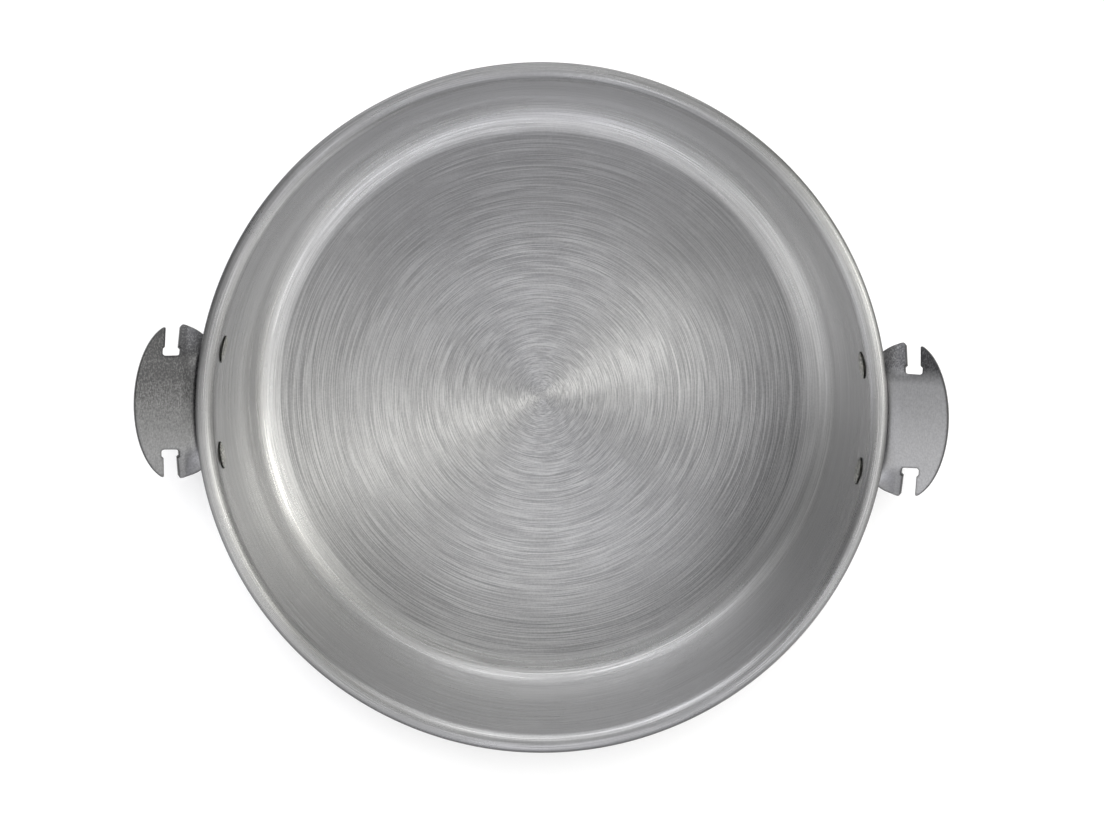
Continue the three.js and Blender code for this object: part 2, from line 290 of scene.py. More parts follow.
def shell_profile():
    """Half section of the spun shell, from the underside's middle round to the floor's middle."""
    nose = LIP_THICKNESS / 2
    under_lip = RIM_Z - LIP_THICKNESS
    heel = arc((OUTER_RADIUS - HEEL_FILLET, HEEL_FILLET), HEEL_FILLET, -90, 0, HEEL_STEPS)
    under_centre = (OUTER_RADIUS + LIP_UNDER_FILLET, under_lip - LIP_UNDER_FILLET)
    under = arc(under_centre, LIP_UNDER_FILLET, 180, 90, UNDER_LIP_STEPS)
    lip = arc((LIP_RADIUS - nose, RIM_Z - nose), nose, -90, -10, NOSE_STEPS)
    crown = arc((LIP_RADIUS - LIP_CROWN, RIM_Z - nose), LIP_CROWN, 0, 90, CROWN_STEPS, nose)
    mouth_centre = (INNER_RADIUS + LIP_INNER_ROUND, RIM_Z - LIP_INNER_ROUND)
    mouth = arc(mouth_centre, LIP_INNER_ROUND, 90, 180, MOUTH_STEPS)
    corner_centre = (INNER_RADIUS - FLOOR_FILLET, BASE_THICKNESS + FLOOR_FILLET)
    corner = arc(corner_centre, FLOOR_FILLET, 0, -90, CORNER_STEPS)
    points = [(0.0, 0.0)]
    points += between((0.0, 0.0), heel[0], FLOOR_RINGS)
    points += heel
    points += between(heel[-1], under[0], WALL_STEPS)
    points += under
    points += lip
    points += crown
    points += between(crown[-1], mouth[0], LIP_TOP_STEPS)
    points += mouth
    points += between(mouth[-1], corner[0], WALL_STEPS)
    points += corner
    points += between(corner[-1], (0.0, BASE_THICKNESS), FLOOR_RINGS)
    points.append((0.0, BASE_THICKNESS))
    return points


def cut_holes(thing, angles):
    """Cuts the radial rivet holes out of the wall."""
    cutters = bmesh.new()
    for angle in angles:
        place = (
            Matrix.Rotation(angle, 4, "Z")
            @ Matrix.Translation((OUTER_RADIUS * MM, 0, (RIM_Z - RIVET_DROP) * MM))
            @ Matrix.Rotation(math.pi / 2, 4, "Y")
        )
        bmesh.ops.create_cone(
            cutters, cap_ends=True, segments=HOLE_SEGMENTS, radius1=HOLE_RADIUS * MM,
            radius2=HOLE_RADIUS * MM, depth=CUTTER_LENGTH * MM, matrix=place,
        )
    mesh = bpy.data.meshes.new("hole_cutters")
    cutters.to_mesh(mesh)
    cutters.free()
    tool = bpy.data.objects.new("hole_cutters", mesh)
    bpy.context.scene.collection.objects.link(tool)
    cut = thing.modifiers.new("holes", "BOOLEAN")
    cut.operation = "DIFFERENCE"
    cut.solver = "EXACT"
    cut.object = tool
    evaluated = thing.evaluated_get(bpy.context.evaluated_depsgraph_get())
    result = bpy.data.meshes.new_from_object(evaluated)
    thing.modifiers.clear()
    thing.data = result
    bpy.data.objects.remove(tool)


def build_pot_body():
    pot = revolve("brushed_pot_shell", shell_profile(), SHELL_SEGMENTS)
    cut_holes(pot, [side + way * RIVET_ANGLE for side in (0, math.pi) for way in (-1, 1)])
    return pot


# ---------------------------------------------------------------- handles

class MiddleLine:
    """The bent sheet's middle line by arc length, from the flange's lower edge to past the plate's end."""

    def __init__(self):
        corners = [(WALL_X, FLANGE_BOTTOM_Z), (WALL_X, HEEL_Z), (CREASE_X, CREASE_Z), (END_X, END_Z)]
        corners = [np.array(c) for c in corners]
        points = [corners[0]]
        for i in (1, 2):
            before = corners[i - 1] - corners[i]
            after = corners[i + 1] - corners[i]
            before = before / np.linalg.norm(before)
            after = after / np.linalg.norm(after)
            turn = math.pi - math.acos(float(before @ after))
            trim = BEND_RADIUS * math.tan(turn / 2)
            start = corners[i] + before * trim
            end = corners[i] + after * trim
            for t in np.linspace(0, 1, BEND_POINTS):
                curve = (1 - t) ** 2 * start + 2 * t * (1 - t) * corners[i] + t * t * end
                points.append(curve)
        points.append(corners[3])
        self.points = np.array(points)
        steps = np.linalg.norm(np.diff(self.points, axis=0), axis=1)
        self.lengths = np.concatenate([[0], np.cumsum(steps)])

    def at(self, s):
        """Point at an arc length; it goes straight on past both ends."""
        x = np.interp(s, self.lengths, self.points[:, 0])
        z = np.interp(s, self.lengths, self.points[:, 1])
        return x, z

    def length_at_x(self, x):
        """Arc length where the sheet reaches a distance from the pot's axis, beyond the heel."""
        past_heel = self.points[:, 0] > WALL_X + 1e-6
        return float(np.interp(x, self.points[past_heel, 0], self.lengths[past_heel]))


LINE = MiddleLine()
S_EAR_TOP = FLANGE_HEIGHT
S_NOTCH = HEEL_Z - BEND_RADIUS / 2 - FLANGE_BOTTOM_Z


def smoothstep(value, low, high):
    t = np.clip((value - low) / (high - low), 0, 1)
    return t * t * (3 - 2 * t)


def lobe_drop(x, y):
    """How far the sheet falls below its middle section at a distance y from the handle's centre line."""
    reach = np.abs(y)
    crown = reach * reach / (2 * CROWN_RADIUS)
    past = np.maximum(0, reach - SLOT_ROOT_Y + LOBE_BEND_ROUND)
    bend = np.where(
        past < 2 * LOBE_BEND_ROUND, past * past / (4 * LOBE_BEND_ROUND), past - LOBE_BEND_ROUND
    )
    inner = 1 - smoothstep(x, OVAL_X - LOBE_BLEND, OVAL_X + LOBE_BLEND)
    return crown + inner * bend * math.tan(LOBE_BEND)


def middle_surface(s, y):
    """The sheet's middle surface at arc length s and distance y along the wall."""
    x, z = LINE.at(s)
    on_ear = (np.abs(y) > (TONGUE_HALF_WIDTH + EAR_INNER_Y) / 2) & (s < S_EAR_TOP + EAR_MARGIN)
    x = np.where(on_ear, WALL_X, x)
    z = np.where(on_ear, FLANGE_BOTTOM_Z + s, z)
    hold = 1 - smoothstep(x, WALL_X, CREASE_X)
    angle = y / WALL_X
    wrapped_x = x + hold * (x * np.cos(angle) - x)
    wrapped_y = y + hold * (x * np.sin(angle) - y)
    return np.stack([wrapped_x, wrapped_y, z - lobe_drop(x, y) * (1 - hold)], axis=-1)


def sheet_points(s, y, height):
    """Points of the sheet: on its middle surface, moved along the surface's normal by height."""
    small = 0.02
    along = middle_surface(s + small, y) - middle_surface(s - small, y)
    across = middle_surface(s, y + small) - middle_surface(s, y - small)
    normal = np.cross(along, across)
    normal /= np.linalg.norm(normal, axis=-1, keepdims=True)
    return middle_surface(s, y) + normal * np.reshape(height, (-1, 1))


def rounded(start, corner, end, steps=8):
    """A curve close to a circular arc from start to end that rounds off the corner between them."""
    pull = 0.55
    first = [a + (c - a) * pull for a, c in zip(start, corner)]
    second = [b + (c - b) * pull for b, c in zip(end, corner)]
    points = []
    for i in range(1, steps + 1):
        t = i / steps
        weights = ((1 - t) ** 3, 3 * t * (1 - t) ** 2, 3 * t * t * (1 - t), t ** 3)
        points.append(tuple(
            sum(w * p[axis] for w, p in zip(weights, (start, first, second, end))) for axis in (0, 1)
        ))
    return points


def plate_half():
    """Plan outline of one half of the plate in (x, y): outer edge, slot, inner lobe, down to the tongue."""
    slot_out = SLOT_X + SLOT_WIDTH / 2
    slot_in = SLOT_X - SLOT_WIDTH / 2
    root_out = SLOT_X + SLOT_ROOT_WIDTH / 2
    root_in = SLOT_X - SLOT_ROOT_WIDTH / 2
    root_top = SLOT_ROOT_Y + SLOT_ROOT_HEIGHT
    neck_top = root_top + (SLOT_ROOT_WIDTH - SLOT_WIDTH) / 2

    def oval_y(x, reach):
        return OVAL_HALF_LENGTH * math.sqrt(1 - ((x - OVAL_X) / reach) ** 2)

    outer_end = math.acos((slot_out + TIP_ROUND - OVAL_X) / OVAL_OUTER)
    inner_start = math.pi - math.acos((OVAL_X - slot_in + TIP_ROUND) / OVAL_INNER)
    inner_end = math.pi - math.acos((OVAL_X - LOBE_INNER_X - TIP_ROUND) / OVAL_INNER)
    points = []
    for t in np.linspace(0, outer_end, OUTER_OVAL_POINTS):
        points.append((OVAL_X + OVAL_OUTER * math.cos(t), OVAL_HALF_LENGTH * math.sin(t)))
    tip = (slot_out, oval_y(slot_out, OVAL_OUTER))
    points += rounded(points[-1], tip, (slot_out, tip[1] - TIP_ROUND))
    points.append((slot_out, neck_top))
    points.append((root_out, root_top))
    points.append((root_out, SLOT_ROOT_Y + SLOT_ROOT_ROUND))
    points += rounded(points[-1], (root_out, SLOT_ROOT_Y), (root_out - SLOT_ROOT_ROUND, SLOT_ROOT_Y))
    points.append((root_in + SLOT_ROOT_ROUND, SLOT_ROOT_Y))
    points += rounded(points[-1], (root_in, SLOT_ROOT_Y), (root_in, SLOT_ROOT_Y + SLOT_ROOT_ROUND))
    points.append((root_in, root_top))
    points.append((slot_in, neck_top))
    tip = (slot_in, oval_y(slot_in, OVAL_INNER))
    points.append((slot_in, tip[1] - TIP_ROUND))
    inner_tip = (slot_in - TIP_ROUND, oval_y(slot_in - TIP_ROUND, OVAL_INNER))
    points += rounded(points[-1], tip, inner_tip)
    for t in np.linspace(inner_start, inner_end, INNER_OVAL_POINTS)[1:]:
        points.append((OVAL_X + OVAL_INNER * math.cos(t), OVAL_HALF_LENGTH * math.sin(t)))
    lobe_corner = (LOBE_INNER_X, oval_y(LOBE_INNER_X, OVAL_INNER))
    points += rounded(points[-1], lobe_corner, (LOBE_INNER_X, lobe_corner[1] - 2 * TIP_ROUND))
    points.append((LOBE_INNER_X, TONGUE_HALF_WIDTH + TIP_ROUND))
    points += rounded(
        points[-1], (LOBE_INNER_X, TONGUE_HALF_WIDTH), (LOBE_INNER_X - TIP_ROUND, TONGUE_HALF_WIDTH)
    )
    return points


def flange_half():
    """Outline of one half of the flange in (s, y): tongue side, relief notch, ear, lower edge."""
    corner_y = FLANGE_HALF_LENGTH - FLANGE_CORNER
    points = [(S_NOTCH + NOTCH_ROUND, TONGUE_HALF_WIDTH)]
    points += rounded(points[-1], (S_NOTCH, TONGUE_HALF_WIDTH), (S_NOTCH, TONGUE_HALF_WIDTH + NOTCH_ROUND))
    points += rounded(points[-1], (S_NOTCH, EAR_INNER_Y), (S_NOTCH + NOTCH_ROUND, EAR_INNER_Y))
    points.append((S_EAR_TOP - EAR_TOP_ROUND, EAR_INNER_Y))
    points += rounded(points[-1], (S_EAR_TOP, EAR_INNER_Y), (S_EAR_TOP, EAR_INNER_Y + EAR_TOP_ROUND))
    points += arc((S_EAR_TOP - FLANGE_CORNER, corner_y), FLANGE_CORNER, 0, 90, EAR_STEPS)
    points += arc((FLANGE_CORNER, corner_y), FLANGE_CORNER, 90, 180, EAR_STEPS)
    return points


def even_steps(points, step):
    """The closed outline again with points at most one step apart, corners kept."""
    result = []
    for here, there in zip(points, points[1:] + points[:1]):
        pieces = max(1, math.ceil(math.dist(here, there) / step - 1e-6))
        for i in range(pieces):
            t = i / pieces
            result.append((here[0] + (there[0] - here[0]) * t, here[1] + (there[1] - here[1]) * t))
    return result


def handle_outline():
    """Closed outline of the whole sheet in (s, y), anticlockwise."""
    half = [(LINE.length_at_x(x), y) for x, y in plate_half()] + flange_half()
    cleaned = [half[0]]
    for point in half[1:]:
        if math.dist(point, cleaned[-1]) > SHORTEST_STEP:
            cleaned.append(point)
    mirrored = [(s, -y) for s, y in reversed(cleaned[1:])]
    return np.array(even_steps(cleaned + mirrored, OUTLINE_STEP))


def inward(points, distance):
    """A closed anticlockwise outline moved towards its material."""
    ahead = np.roll(points, -1, axis=0) - np.roll(points, 1, axis=0)
    ahead /= np.linalg.norm(ahead, axis=1, keepdims=True)
    normal = np.stack([-ahead[:, 1], ahead[:, 0]], axis=1)
    return points + normal * distance


def inside(points, outline):
    """Which points lie inside a closed outline."""
    x, y = points[:, 0][:, None], points[:, 1][:, None]
    x1, y1 = outline[:, 0], outline[:, 1]
    x2, y2 = np.roll(x1, -1), np.roll(y1, -1)
    crosses = ((y1 > y) != (y2 > y)) & (x < (x2 - x1) * (y - y1) / (y2 - y1 + 1e-12) + x1)
    return crosses.sum(axis=1) % 2 == 1


def nearest(points, outline):
    gaps = np.linalg.norm(points[:, None, :] - outline[None, :, :], axis=2)
    return gaps.min(axis=1)


def face_grid(loop, holes):
    """Inner points and triangles of the sheet's flat pattern, inside a loop and outside the holes."""
    low, high = loop.min(axis=0), loop.max(axis=0)
    s_values = np.arange(low[0], high[0], FACE_STEP)
    y_values = np.arange(low[1], high[1], FACE_STEP)
    grid = np.array([
        (s + (FACE_STEP / 2 if j % 2 else 0), y) for j, y in enumerate(y_values) for s in s_values
    ])
    grid = grid[inside(grid, loop)]
    clear = nearest(grid, loop) > FACE_CLEARANCE
    for hole in holes:
        clear &= nearest(grid, hole) > FACE_CLEARANCE
        clear &= ~inside(grid, hole)
    grid = grid[clear]
    rings = [loop, *holes]
    points = np.concatenate([*rings, grid])
    ring_faces = []
    start = 0
    for ring in rings:
        ring_faces.append(list(range(start, start + len(ring))))
        start += len(ring)
    coords, _, faces, origins, _, _ = delaunay_2d_cdt(
        [Vector(p) for p in points], [], ring_faces, 1, 1e-6
    )
    assert len(coords) == len(points)
    original = [o[0] for o in origins]
    triangles = [tuple(original[v] for v in face) for face in faces]
    centres = np.array([points[list(t)].mean(axis=0) for t in triangles])
    keep = np.ones(len(triangles), bool)
    for hole in holes:
        keep &= ~inside(centres, hole)
    return points, [t for t, k in zip(triangles, keep) if k]


def edge_profile():
    """Half of the sheet's rounded edge: distance in from the outline and height over the middle."""
    flat = SHEET / 2 - SHEET_EDGE_ROUND
    steps = 5
    points = []
    for i in range(steps):
        a = math.pi / 2 * i / steps
        points.append((SHEET_EDGE_ROUND * (1 - math.sin(a)), flat + SHEET_EDGE_ROUND * math.cos(a)))
    points.append((0.0, flat))
    return points


def build_handle(name, turn):
    """One bent sheet with rounded edges: triangles on both faces and rings of quads round the edge."""
    outline = handle_outline()
    hole_turns = np.linspace(0, 2 * math.pi, HOLE_SEGMENTS + 1)[:-1]
    circle = np.stack([np.cos(hole_turns), np.sin(hole_turns)], axis=1) * HOLE_RADIUS
    hole_s = RIM_Z - RIVET_DROP - FLANGE_BOTTOM_Z
    holes = [circle + (hole_s, way * RIVET_ANGLE * WALL_X) for way in (-1, 1)]
    half_edge = edge_profile()
    loop = inward(outline, half_edge[0][0])
    flat_points, triangles = face_grid(loop, holes)
    count = len(flat_points)
    size = len(outline)
    parts = []
    heights = []
    edge_shades = []
    # Painted shade: the faces darken close to the outline, and the rounded edge rings darken most.
    for side in (1, -1):
        parts.append(flat_points)
        heights.append(np.full(count, side * SHEET / 2))
        closeness = np.clip(1 - nearest(flat_points, outline) / DARK_MARGIN, 0, 1)
        edge_shades.append(FACE_DARKNESS * closeness)
    inner_edge = half_edge[1:] + [(d, -h) for d, h in reversed(half_edge[1:])]
    for distance, height in inner_edge:
        parts.append(inward(outline, distance))
        heights.append(np.full(size, height))
        edge_shades.append(np.full(size, 1 - EDGE_FADE * distance / SHEET_EDGE_ROUND))
    flat = np.concatenate(parts)
    vertices = sheet_points(flat[:, 0], flat[:, 1], np.concatenate(heights))
    faces = list(triangles)
    faces += [tuple(count + v for v in reversed(t)) for t in triangles]
    ring_starts = [0] + [2 * count + i * size for i in range(len(inner_edge))] + [count]
    for upper, lower in zip(ring_starts, ring_starts[1:]):
        for i in range(size):
            k = (i + 1) % size
            faces.append((upper + i, lower + i, lower + k, upper + k))
    start = size
    for hole in holes:
        for i in range(len(hole)):
            k = (i + 1) % len(hole)
            faces.append((start + i, start + k, count + start + k, count + start + i))
        start += len(hole)
    handle = make_object(name, vertices.tolist(), faces)
    store_edge_shade(handle, np.concatenate(edge_shades))
    fix_normals(handle)
    handle.data.transform(Matrix.Rotation(turn, 4, "Z"))
    return handle


def fix_normals(thing):
    mesh = bmesh.new()
    mesh.from_mesh(thing.data)
    bmesh.ops.recalc_face_normals(mesh, faces=mesh.faces)
    mesh.to_mesh(thing.data)
    mesh.free()


# ---------------------------------------------------------------- rivets

def head_profile(seat, radius, way):
    """Domed head from its seat to the axis, with a small rolled edge."""
    points = [(radius - HEAD_UNDERCUT, seat), (radius - HEAD_BEVEL, seat + way * HEAD_BEVEL_RISE)]
    for i in range(HEAD_STEPS):
        a = math.pi / 2 * i / HEAD_STEPS
        rise = HEAD_ROLL + (HEAD_HEIGHT - HEAD_ROLL) * math.sin(a)
        points.append((radius * math.cos(a) ** HEAD_FULLNESS, seat + way * rise))
    points.append((0.0, seat + way * HEAD_HEIGHT))
    return points


def build_rivet(name, angle):
    """A solid rivet through wall and flange along a radius, with a domed head at each end."""
    inner_seat = INNER_RADIUS - INNER_SEAT_DEPTH
    outer_seat = FLANGE_INNER + SHEET + OUTER_SEAT_GAP
    profile = list(reversed(head_profile(inner_seat, INNER_HEAD_RADIUS, -1)))
    profile.append((SHANK_RADIUS, inner_seat))
    profile.append((SHANK_RADIUS, outer_seat))
    profile += head_profile(outer_seat, OUTER_HEAD_RADIUS, 1)
    rivet = revolve(name, profile, RIVET_SEGMENTS)
    # Painted shade on each head's rolled rim.
    rim_shades = []
    for vertex in rivet.data.vertices:
        head = INNER_HEAD_RADIUS if vertex.co.z < OUTER_RADIUS * MM else OUTER_HEAD_RADIUS
        rim_shades.append(smoothstep(vertex.co.xy.length / MM / head, HEAD_SHADE_START, HEAD_SHADE_FULL))
    store_edge_shade(rivet, rim_shades)
    place = (
        Matrix.Rotation(angle, 4, "Z")
        @ Matrix.Translation((0, 0, (RIM_Z - RIVET_DROP) * MM))
        @ Matrix.Rotation(math.pi / 2, 4, "Y")
    )
    rivet.data.transform(place)
    fix_normals(rivet)
    return rivet


# ---------------------------------------------------------------- materials

def grey(level, blue_shift=0.0):
    """A grey, with its blue a little above or below the rest."""
    return (level, level, level + blue_shift, 1)


class Nodes:
    """Short calls that add shader nodes to one material or world."""

    def __init__(self, owner, main):
        self.owner = owner
        owner.use_nodes = True
        self.tree = owner.node_tree
        self.shader = self.tree.nodes[main]

    def set(self, socket, value):
        self.feed(self.shader.inputs[socket], value)

    def add(self, kind, inputs=None, **settings):
        node = self.tree.nodes.new(kind)
        for key, value in settings.items():
            setattr(node, key, value)
        for key, value in (inputs or {}).items():
            self.feed(node.inputs[key], value)
        return node

    def feed(self, socket, value):
        if isinstance(value, bpy.types.NodeSocket):
            self.tree.links.new(value, socket)
        else:
            socket.default_value = value

    def math(self, operation, a, b=0.0, c=0.0):
        return self.add("ShaderNodeMath", {0: a, 1: b, 2: c}, operation=operation).outputs[0]

    def vector(self, operation, a, b=(0, 0, 0)):
        node = self.add("ShaderNodeVectorMath", {0: a, 1: b}, operation=operation)
        return node.outputs["Vector"]

    def remap(self, value, low, high, to_low, to_high):
        node = self.add(
            "ShaderNodeMapRange",
            {"Value": value, "From Min": low, "From Max": high, "To Min": to_low, "To Max": to_high},
        )
        return node.outputs["Result"]

    def rise(self, value, low, high, top=1.0):
        """From 0 at low to top at high."""
        return self.remap(value, low, high, 0.0, top)

    def mix(self, factor, a, b):
        node = self.add("ShaderNodeMix", data_type="RGBA", blend_type="MIX")
        self.feed(node.inputs["Factor"], factor)
        self.feed(node.inputs[6], a)
        self.feed(node.inputs[7], b)
        return node.outputs[2]

    def noise(self, vector, scale, detail=2.0, roughness=0.5, w=None):
        dimensions = "3D" if w is None else "4D"
        inputs = {"Vector": vector, "Scale": scale, "Detail": detail, "Roughness": roughness}
        if w is not None:
            inputs["W"] = w
        node = self.add("ShaderNodeTexNoise", inputs, noise_dimensions=dimensions)
        return node.outputs["Fac"]

    def bump(self, height, distance, normal=None):
        inputs = {"Height": height, "Distance": distance, "Strength": 1.0}
        if normal is not None:
            inputs["Normal"] = normal
        return self.add("ShaderNodeBump", inputs).outputs["Normal"]


def surface(name):
    """A new material's nodes."""
    return Nodes(bpy.data.materials.new(name), "Principled BSDF")


def object_place(nodes):
    return nodes.add("ShaderNodeTexCoord").outputs["Object"]


def painted_edge_shade(nodes):
    """The stored painted shade: 0 on a face and 1 on an edge in full painted shade."""
    return nodes.add("ShaderNodeAttribute", attribute_name="edge").outputs["Fac"]


def axis_place(nodes):
    """Object position, distance from the pot's axis in metres and height in metres, as sockets."""
    place = nodes.add("ShaderNodeTexCoord").outputs["Object"]
    split = nodes.add("ShaderNodeSeparateXYZ", {0: place})
    flat = nodes.add("ShaderNodeCombineXYZ", {0: split.outputs[0], 1: split.outputs[1]}).outputs[0]
    radius = nodes.add("ShaderNodeVectorMath", {0: flat}, operation="LENGTH").outputs["Value"]
    return place, flat, radius, split.outputs[2]


def ring_lines(nodes, per_metre, turns, seed):
    """Noise drawn out round the pot's axis: fine across a brush line and long along it."""
    _, flat, radius, height = axis_place(nodes)
    heading = nodes.add("ShaderNodeSeparateXYZ", {0: nodes.vector("NORMALIZE", flat)})
    along_x = nodes.math("MULTIPLY", heading.outputs[0], turns)
    along_y = nodes.math("MULTIPLY", heading.outputs[1], turns)
    rise = nodes.math("ADD", nodes.math("MULTIPLY", height, per_metre), seed)
    across = nodes.math("MULTIPLY", radius, per_metre)
    vector = nodes.add("ShaderNodeCombineXYZ", {0: along_x, 1: along_y, 2: rise}).outputs[0]
    return nodes.noise(vector, 1.0, 1.0, 0.5, w=across)


def brushed_aluminium():
    """Turned aluminium: a coarse brushed floor, duller towards its edge, with a finer wall and lip; painted
    shade darkens the floor's far side and the lip's outer edge.
    """
    nodes = surface("brushed_aluminium")
    place, _, radius, height = axis_place(nodes)
    fine = ring_lines(nodes, 2700.0, 3.6, 3.1)
    medium = ring_lines(nodes, 1500.0, 2.0, 7.7)
    broad = ring_lines(nodes, 60.0, 0.8, 1.3)
    speck = nodes.noise(place, 900.0, 1.0, 0.5)
    cloud = nodes.noise(place, 9.0, 3.0, 0.55)
    scuff = nodes.noise(place, 38.0, 4.0, 0.7)

    past_floor = nodes.rise(radius, (FLOOR_EDGE - FLOOR_BLEND) * MM, (FLOOR_EDGE + FLOOR_BLEND) * MM)
    near_rim = nodes.rise(height, (RIM_Z - LIP_START_DROP) * MM, (RIM_Z - LIP_FULL_DROP) * MM)
    lip_start = (INNER_RADIUS + LIP_START_OUT) * MM
    turned_out = nodes.rise(radius, lip_start, (INNER_RADIUS + LIP_FULL_OUT) * MM)
    on_lip = nodes.math("MULTIPLY", near_rim, turned_out)
    dull_rise = nodes.rise(radius, DULL_START * MM, DULL_FULL * MM)
    dull_band = nodes.math("MULTIPLY", dull_rise, nodes.math("SUBTRACT", 1.0, past_floor))
    # Painted shade: the floor darker towards its far (+Y) side and its outer part.
    far_side = nodes.add("ShaderNodeSeparateXYZ", {0: place}).outputs[1]
    outward = nodes.rise(radius, FLOOR_SHADE_START * MM, FLOOR_SHADE_FULL * MM)
    painted_far_shade = nodes.math("MULTIPLY", nodes.rise(far_side, 0.0, FLOOR_SHADE_REACH * MM, 0.5), outward)
    # Painted shade: a dark line along the lip's outermost edge.
    painted_rim_shade = nodes.rise(radius, (LIP_RADIUS - PAINTED_RIM_SHADE_WIDTH) * MM, LIP_RADIUS * MM, 0.9)

    strong = nodes.rise(fine, 0.41, 0.59, 0.65)
    soft = nodes.rise(medium, 0.40, 0.60, 0.20)
    grain = nodes.rise(speck, 0.38, 0.62, 0.15)
    tone = nodes.math("ADD", nodes.math("ADD", strong, soft), grain)
    floor_tone = nodes.mix(tone, grey(0.57, 0.01), grey(1.0))
    dull_tone = nodes.mix(tone, grey(0.44, 0.01), grey(0.86))
    wall_low = nodes.mix(tone, grey(0.70), grey(0.98))
    wall_high = nodes.mix(tone, grey(0.50), grey(0.82))
    wall_tone = nodes.mix(nodes.rise(height, WALL_LOW * MM, WALL_HIGH * MM), wall_low, wall_high)
    lip_tone = nodes.mix(tone, grey(0.50), grey(0.70))
    colour = nodes.mix(dull_band, floor_tone, dull_tone)
    # Painted shade on the far side of the floor.
    colour = nodes.mix(painted_far_shade, colour, grey(0.36, 0.005))
    colour = nodes.mix(past_floor, colour, wall_tone)
    colour = nodes.mix(on_lip, colour, lip_tone)
    # Painted shade along the lip's outer edge.
    colour = nodes.mix(painted_rim_shade, colour, grey(0.12))
    colour = nodes.mix(nodes.rise(broad, 0.35, 0.65, 0.10), colour, grey(0.76, 0.01))
    colour = nodes.mix(nodes.rise(scuff, 0.56, 0.72, 0.15), colour, grey(0.95, -0.01))
    nodes.set("Base Color", colour)

    rough = nodes.remap(past_floor, 0.0, 1.0, FLOOR_ROUGHNESS, WALL_ROUGHNESS)
    rough = nodes.math("ADD", rough, nodes.remap(tone, 0.2, 0.8, 0.03, -0.03))
    rough = nodes.math("ADD", rough, nodes.remap(cloud, 0.3, 0.7, -0.02, 0.02))
    nodes.set("Roughness", rough)
    nodes.set("Metallic", 1.0)
    nodes.shader.inputs["Anisotropic"].default_value = 0.9
    nodes.shader.inputs["Anisotropic Rotation"].default_value = 0.25
    nodes.set("Tangent", nodes.add("ShaderNodeTangent", direction_type="RADIAL", axis="Z").outputs[0])
    relief = nodes.remap(past_floor, 0.0, 1.0, 0.00010, 0.00006)
    grooves = nodes.bump(nodes.math("MULTIPLY", tone, relief), 1.0)
    nodes.set("Normal", nodes.bump(cloud, 0.0005, normal=grooves))
    return nodes.owner


def satin_steel(side):
    """Pressed stainless sheet: a satin grey with short scratches and painted shade, darker at one end than
    the other and on the far tips.
    """
    near_shade, far_shade = HANDLE_PAINTED_SHADE[side]
    nodes = surface(f"satin_steel_{side}")
    place = object_place(nodes)
    stretched = nodes.vector("MULTIPLY", place, (1.0, 0.3, 1.0))
    grain = nodes.noise(stretched, 1800.0, 2.0, 0.6)
    mottle = nodes.noise(place, 900.0, 3.0, 0.65)
    cloud = nodes.noise(place, 45.0, 3.0, 0.6)
    lines = nodes.math("ADD", nodes.math("MULTIPLY", grain, 0.5), nodes.math("MULTIPLY", mottle, 0.5))

    colour = nodes.mix(nodes.rise(lines, 0.38, 0.62), grey(0.78, 0.01), grey(0.94, 0.01))
    colour = nodes.mix(nodes.rise(cloud, 0.35, 0.7, 0.2), colour, grey(0.70, 0.02))
    along = nodes.add("ShaderNodeSeparateXYZ", {0: place}).outputs[1]
    # Painted shade: darker towards the far (+Y) end, more on one handle than the other, and darkest on the
    # far tips.
    painted_tip_shade = nodes.rise(along, PAINTED_TIP_SHADE_START * MM, PAINTED_TIP_SHADE_FULL * MM, 0.95)
    painted_end_shade = nodes.remap(along, PAINTED_SHADE_NEAR * MM, PAINTED_SHADE_FAR * MM, near_shade, far_shade)
    patchy = nodes.remap(lines, 0.4, 0.6, 1.15, 0.85)
    painted_shade = nodes.math("MULTIPLY", nodes.math("MAXIMUM", painted_tip_shade, painted_end_shade), patchy)
    # The painted shade is mixed into the steel's colour here.
    colour = nodes.mix(painted_shade, colour, grey(0.13, 0.005))
    # Painted shade along the sheet's edges.
    colour = nodes.mix(nodes.rise(painted_edge_shade(nodes), 0.1, 0.9), colour, grey(0.08))
    nodes.set("Base Color", colour)
    nodes.set("Roughness", nodes.remap(lines, 0.3, 0.7, 0.34, 0.42))
    nodes.set("Metallic", 1.0)
    nodes.set("Normal", nodes.bump(cloud, 0.00015, normal=nodes.bump(lines, 0.00003)))
    return nodes.owner


def polished_rivet():
    """Bright rivet metal with slight hammer marks."""
    nodes = surface("polished_rivet")
    place = object_place(nodes)
    dents = nodes.noise(place, 380.0, 1.0, 0.5)
    speck = nodes.noise(place, 700.0, 2.0, 0.6)
    colour = nodes.mix(nodes.rise(speck, 0.44, 0.56), grey(0.42, -0.03), (0.92, 0.91, 0.85, 1))
    # Painted shade darkens the heads' rolled rims.
    nodes.set("Base Color", nodes.mix(painted_edge_shade(nodes), colour, grey(0.05, -0.005)))
    nodes.set("Roughness", nodes.remap(speck, 0.3, 0.7, 0.14, 0.24))
    nodes.set("Metallic", 1.0)
    nodes.set("Normal", nodes.bump(dents, 0.0012))
    return nodes.owner


def studio_floor():
    """A pale matt table that glows a little, as a lit sweep does."""
    nodes = surface("studio_floor")
    cloud = nodes.noise(object_place(nodes), 3.0, 2.0, 0.5)
    nodes.set("Base Color", nodes.mix(nodes.rise(cloud, 0.3, 0.7), grey(0.88), grey(0.9)))
    nodes.set("Roughness", 0.9)
    nodes.shader.inputs["Specular IOR Level"].default_value = 0.1
    nodes.set("Emission Color", grey(1.0))
    nodes.set("Emission Strength", 0.12)
    return nodes.owner


# ---------------------------------------------------------------- studio

def view_axes():
    """The camera's right and up directions in the part's frame."""
    right = Vector((math.cos(CAMERA_ROLL), math.sin(CAMERA_ROLL), 0))
    up = Vector((-math.sin(CAMERA_ROLL), math.cos(CAMERA_ROLL), 0))
    return right, up


